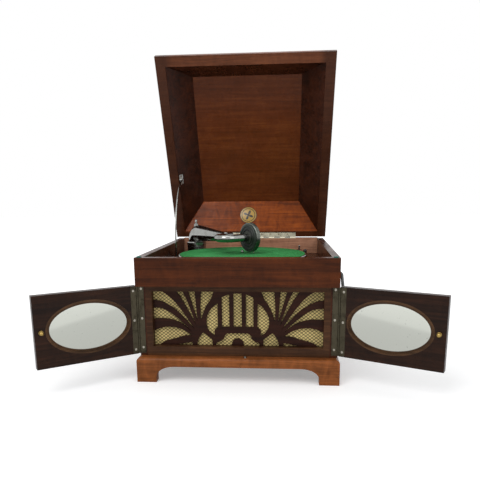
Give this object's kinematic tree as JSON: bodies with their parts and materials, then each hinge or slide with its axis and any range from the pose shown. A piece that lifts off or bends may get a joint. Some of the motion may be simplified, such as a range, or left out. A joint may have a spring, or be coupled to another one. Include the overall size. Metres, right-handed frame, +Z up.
{
  "type": "tabletop gramophone",
  "caption": "Tabletop gramophone in a mahogany case with a hipped lid, mirrored doors, fretwork grille, nickel tone arm and sound box, green felt turntable and winding crank",
  "frame": {"origin": "on the table under the middle of the model's box, seen from above, with the doors and the lid open as in the picture", "axes": "+X to the viewer's right along the front, +Y from the front to the back, +Z up along the turntable's spindle"},
  "size_m": [0.7996, 0.6392, 0.7231],
  "materials": {
    "mahogany": "french polished",
    "rail_mahogany": "french polished, figured",
    "dark_mahogany": "french polished",
    "plinth_mahogany": "french polished, lighter",
    "door_mahogany": "french polished, very dark",
    "lid_mahogany": "french polished, figured",
    "frame_wood": "polished moulding",
    "fret_wood": "stained and polished",
    "carcass_wood": "plain, unfinished",
    "horn_wood": "plain, varnished",
    "grip_wood": "turned and polished",
    "grille_fabric": "woven, diamond mesh",
    "felt": "napped",
    "baize": "glued pads",
    "silvered_glass": "bevelled",
    "nickel": "nickel plate, aged",
    "bronzed_brass": "bronzed",
    "brass": "polished",
    "gear_brass": "machined",
    "screw_steel": "bright heads",
    "motor_steel": "machined",
    "cast_iron": "painted casting",
    "black_iron": "black enamel",
    "black_rubber": "moulded",
    "mica": "clear amber sheet",
    "black_knob": "turned"
  },
  "bodies": {
    "case": {"side_panels": "mahogany", "back_panel": "mahogany", "bottom_board": "carcass_wood", "front_rail": "rail_mahogany", "grille_frame": "dark_mahogany", "motor_board": "mahogany", "board_cleats": "carcass_wood", "plinth": "plinth_mahogany", "bracket_feet": "plinth_mahogany", "lid_pads": "baize", "catch_stud": "nickel", "fretwork_grille": "fret_wood", "grille_cloth": "grille_fabric", "horn_mouth": "horn_wood", "horn_throat": "cast_iron", "motor_frame": "cast_iron", "crank_escutcheon": "nickel", "board_plates": "nickel", "arm_base": "nickel", "hinge_case_leaves": "bronzed_brass", "case_screws": "screw_steel"},
    "lid": {"lid_frame": "mahogany", "lid_slopes": "lid_mahogany", "lid_top": "lid_mahogany", "lid_stay": "nickel", "lid_hinge_leaf": "nickel", "lid_screws": "screw_steel"},
    "left_door": {"door_left": "door_mahogany", "door_hinge_left": "bronzed_brass", "oval_frame_left": "frame_wood", "glass_left": "silvered_glass", "door_knob_left": "brass", "door_screws_left": "screw_steel"},
    "right_door": {"door_right": "door_mahogany", "door_hinge_right": "bronzed_brass", "oval_frame_right": "frame_wood", "glass_right": "silvered_glass", "door_knob_right": "brass", "door_screws_right": "screw_steel"},
    "turntable": {"spindle": "nickel", "platter": "nickel", "turntable_felt": "felt"},
    "intermediate": {"intermediate_gear": "gear_brass"},
    "barrel": {"spring_barrel": "motor_steel"},
    "governor_shaft": {"governor": "gear_brass"},
    "crank": {"crank_shaft": "motor_steel", "crank_arm": "black_iron"},
    "winding": {"winding_arbor": "motor_steel"},
    "grip": {"crank_grip": "grip_wood"},
    "arm": {"tone_arm": "nickel", "pivot_knob": "nickel"},
    "sound_head": {"gooseneck": "nickel", "sound_box": "nickel", "sound_box_back": "black_rubber", "diaphragm": "mica", "needle_bar": "nickel", "needle": "screw_steel"},
    "screw": {"needle_screw": "nickel"},
    "brake": {"brake_lever": "nickel"},
    "speed": {"speed_knob": "black_knob"}
  },
  "joints": [
    {"name": "lid_hinge", "type": "hinge", "parent": "case", "child": "lid", "pos_m": [-0.00724, 0.27849, 0.268], "axis": [-1, 0, 0], "range_deg": [-65.3, 0]},
    {"name": "door_left_hinge", "type": "hinge", "parent": "case", "child": "left_door", "pos_m": [-0.21874, -0.19551, 0.1315], "axis": [0, 0, -1], "range_deg": [-144.5, 35.5]},
    {"name": "door_right_hinge", "type": "hinge", "parent": "case", "child": "right_door", "pos_m": [0.20426, -0.19551, 0.1315], "axis": [0, 0, 1], "range_deg": [-153.2, 26.8]},
    {"name": "turntable_spin", "type": "hinge", "parent": "case", "child": "turntable", "pos_m": [-0.01124, 0.01649, 0.2503], "axis": [0, 0, 1], "continuous": true},
    {"name": "intermediate_spin", "type": "hinge", "parent": "case", "child": "intermediate", "pos_m": [0.01875, 0.01574, 0.16], "axis": [0, 0, 1], "continuous": true},
    {"name": "barrel_spin", "type": "hinge", "parent": "case", "child": "barrel", "pos_m": [0.05876, 0.03149, 0.15], "axis": [0, 0, 1], "continuous": true},
    {"name": "governor_spin", "type": "hinge", "parent": "case", "child": "governor_shaft", "pos_m": [-0.03644, 0.01649, 0.16], "axis": [0, 0, 1], "continuous": true},
    {"name": "crank_turn", "type": "hinge", "parent": "case", "child": "crank", "pos_m": [0.20176, 0.03149, 0.202], "axis": [1, 0, 0], "continuous": true},
    {"name": "winding_spin", "type": "hinge", "parent": "case", "child": "winding", "pos_m": [0.05876, 0.03149, 0.15], "axis": [0, 0, 1], "continuous": true},
    {"name": "grip_spin", "type": "hinge", "parent": "crank", "child": "grip", "pos_m": [0.24476, -0.04226, 0.14055], "axis": [1, 0, 0], "continuous": true},
    {"name": "arm_swing", "type": "hinge", "parent": "case", "child": "arm", "pos_m": [-0.15174, 0.18649, 0.261], "axis": [0, 0, 1], "range_deg": [-10, 46]},
    {"name": "head_swivel", "type": "hinge", "parent": "arm", "child": "sound_head", "pos_m": [-0.04655, 0.01816, 0.2903], "axis": [-0.7547, -0.6561, 0], "range_deg": [0, 120]},
    {"name": "needle_screw_turn", "type": "hinge", "parent": "sound_head", "child": "screw", "pos_m": [0.01505, 0.01314, 0.25996], "axis": [0.7547, 0.6561, 0], "continuous": true},
    {"name": "brake_turn", "type": "hinge", "parent": "case", "child": "brake", "pos_m": [0.11876, 0.14849, 0.227], "axis": [0, 0, 1], "range_deg": [0, 25]},
    {"name": "speed_turn", "type": "hinge", "parent": "case", "child": "speed", "pos_m": [0.14576, 0.11649, 0.227], "axis": [0, 0, 1], "range_deg": [-60, 60]}
  ],
  "couplings": [
    {"joint": "intermediate_spin", "follows": "turntable_spin", "ratio": -0.25},
    {"joint": "barrel_spin", "follows": "turntable_spin", "ratio": 0.048611},
    {"joint": "governor_spin", "follows": "turntable_spin", "ratio": -6},
    {"joint": "winding_spin", "follows": "crank_turn", "ratio": 0.4}
  ]
}
